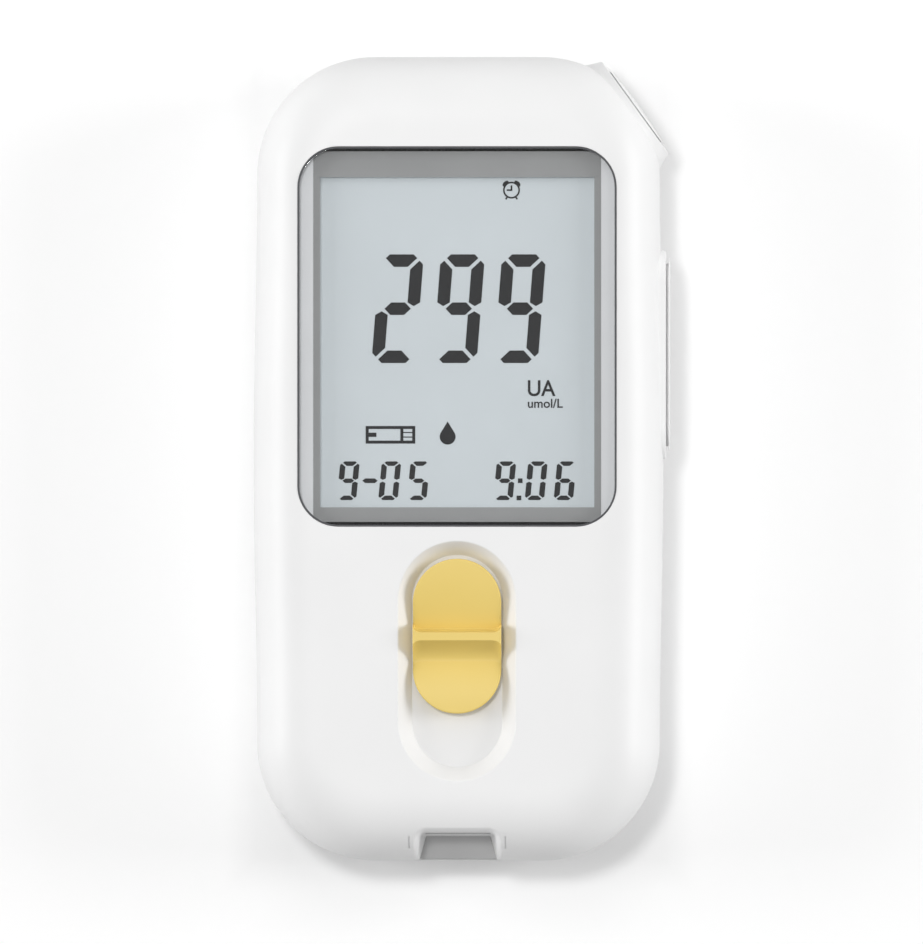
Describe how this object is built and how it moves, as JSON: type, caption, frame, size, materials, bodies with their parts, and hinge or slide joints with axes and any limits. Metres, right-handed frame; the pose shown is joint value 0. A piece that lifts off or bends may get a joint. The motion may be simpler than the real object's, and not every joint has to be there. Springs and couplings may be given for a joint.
{
  "type": "blood glucose meter",
  "caption": "Handheld test-strip meter with a large display, a sliding strip ejector, a round corner key, a rocking side key and a rear battery door.",
  "frame": {"origin": "middle of the case's plan, on the surface that the rubber feet stand on", "axes": "+Z out of the display, +Y along the case towards the top of the display, +X to the right seen from the front"},
  "size_m": [0.0528, 0.102, 0.0213],
  "materials": {
    "white_case": "satin moulded white plastic",
    "clear_window": "clear polished plastic sheet",
    "gasket_black": "soft dark grey foam line",
    "mask_grey": "printed grey on clear film",
    "segment_ink": "dark liquid crystal segments",
    "polariser_film": "satin neutral film",
    "lcd_glass": "clear ground glass",
    "reflector_film": "silvery grey reflecting film",
    "frame_white": "plain white moulding",
    "elastomer_pink": "soft silicone with carbon layers",
    "board_green": "solder mask over copper and glass fibre",
    "chip_black": "black epoxy moulding",
    "crystal_can": "drawn metal can",
    "passive_tan": "ceramic with tinned ends",
    "guide_grey": "matte grey moulding",
    "connector_black": "black glass-filled plastic",
    "gold_spring": "gold plated spring strip",
    "switch_black": "black switch housing",
    "plunger_ivory": "ivory acetal",
    "steel": "bright turned steel",
    "nickel_spring": "nickel plated spring steel",
    "cell_wrap": "plain dark blue cell wrap with bare metal ends",
    "rubber_grey": "soft grey rubber",
    "slider_yellow": "satin warm yellow plastic",
    "carriage_white": "slippery off-white acetal",
    "key_white": "smooth white plastic",
    "door_white": "satin moulded white plastic",
    "pad_foam": "closed-cell foam"
  },
  "bodies": {
    "case": {"front_cover": "white_case", "rear_cover": "white_case", "display_window": "clear_window", "window_gasket": "gasket_black", "window_mask": "mask_grey", "lcd_segments": "segment_ink", "lcd_front_polariser": "polariser_film", "lcd_front_glass": "lcd_glass", "lcd_rear_glass": "lcd_glass", "lcd_reflector": "reflector_film", "lcd_frame": "frame_white", "elastomer_connectors": "elastomer_pink", "main_board": "board_green", "controller_chip": "chip_black", "analog_chip": "chip_black", "memory_chip": "chip_black", "clock_crystal": "crystal_can", "chip_passives": "passive_tan", "buzzer": "switch_black", "strip_guide": "guide_grey", "strip_connector": "connector_black", "strip_contacts": "gold_spring", "corner_switch": "switch_black", "side_switch_upper": "switch_black", "side_switch_lower": "switch_black", "side_key_pin": "steel", "battery_left": "cell_wrap", "battery_right": "cell_wrap", "battery_springs": "nickel_spring", "battery_contact_plates": "nickel_spring", "battery_bridge_plate": "nickel_spring", "case_screws": "steel", "board_screws": "steel", "rubber_feet": "rubber_grey", "return_springs": "nickel_spring"},
    "ejector": {"slider_knob": "slider_yellow", "ejector_carriage": "carriage_white", "ejector_pusher": "carriage_white", "knob_screw": "steel"},
    "corner_key": {"corner_key": "key_white"},
    "corner_plunger": {"corner_switch_plunger": "plunger_ivory"},
    "side_key": {"side_key": "key_white"},
    "upper_plunger": {"side_plunger_upper": "plunger_ivory"},
    "lower_plunger": {"side_plunger_lower": "plunger_ivory"},
    "battery_door": {"battery_door": "door_white", "door_latch": "door_white", "door_pad": "pad_foam"}
  },
  "joints": [
    {"name": "ejector_slide", "type": "slide", "parent": "case", "child": "ejector", "axis": [0, -1, 0], "range_m": [0, 0.0068], "stiffness_N_per_m": 250, "springref_m": -0.002, "deforming": ["return_springs"]},
    {"name": "corner_key_press", "type": "slide", "parent": "case", "child": "corner_key", "axis": [-0.81, -0.5864, 0], "range_m": [0, 0.0003], "stiffness_N_per_m": 3000, "springref_m": -0.0001},
    {"name": "corner_plunger_press", "type": "slide", "parent": "case", "child": "corner_plunger", "axis": [-0.81, -0.5864, 0], "range_m": [0, 0.0003]},
    {"name": "side_key_rock", "type": "hinge", "parent": "case", "child": "side_key", "pos_m": [0.022, 0.0132, 0.01], "axis": [0, 0, 1], "range_deg": [-1.5, 1.5], "stiffness_Nm_per_rad": 0.65},
    {"name": "upper_plunger_press", "type": "slide", "parent": "case", "child": "upper_plunger", "axis": [-1, 0, 0], "range_m": [-0.00028, 0.00028]},
    {"name": "lower_plunger_press", "type": "slide", "parent": "case", "child": "lower_plunger", "axis": [-1, 0, 0], "range_m": [-0.00028, 0.00028]},
    {"name": "battery_door_hinge", "type": "hinge", "parent": "case", "child": "battery_door", "pos_m": [0, 0.0386, 0.0004], "axis": [1, 0, 0], "range_deg": [0, 75], "stiffness_Nm_per_rad": 0.05, "springref_deg": -11.46, "deforming": ["door_latch"]}
  ],
  "couplings": [
    {"joint": "corner_plunger_press", "follows": "corner_key_press", "ratio": 1},
    {"joint": "upper_plunger_press", "follows": "side_key_rock", "m_per_rad": 0.0085},
    {"joint": "lower_plunger_press", "follows": "side_key_rock", "m_per_rad": -0.0085}
  ]
}
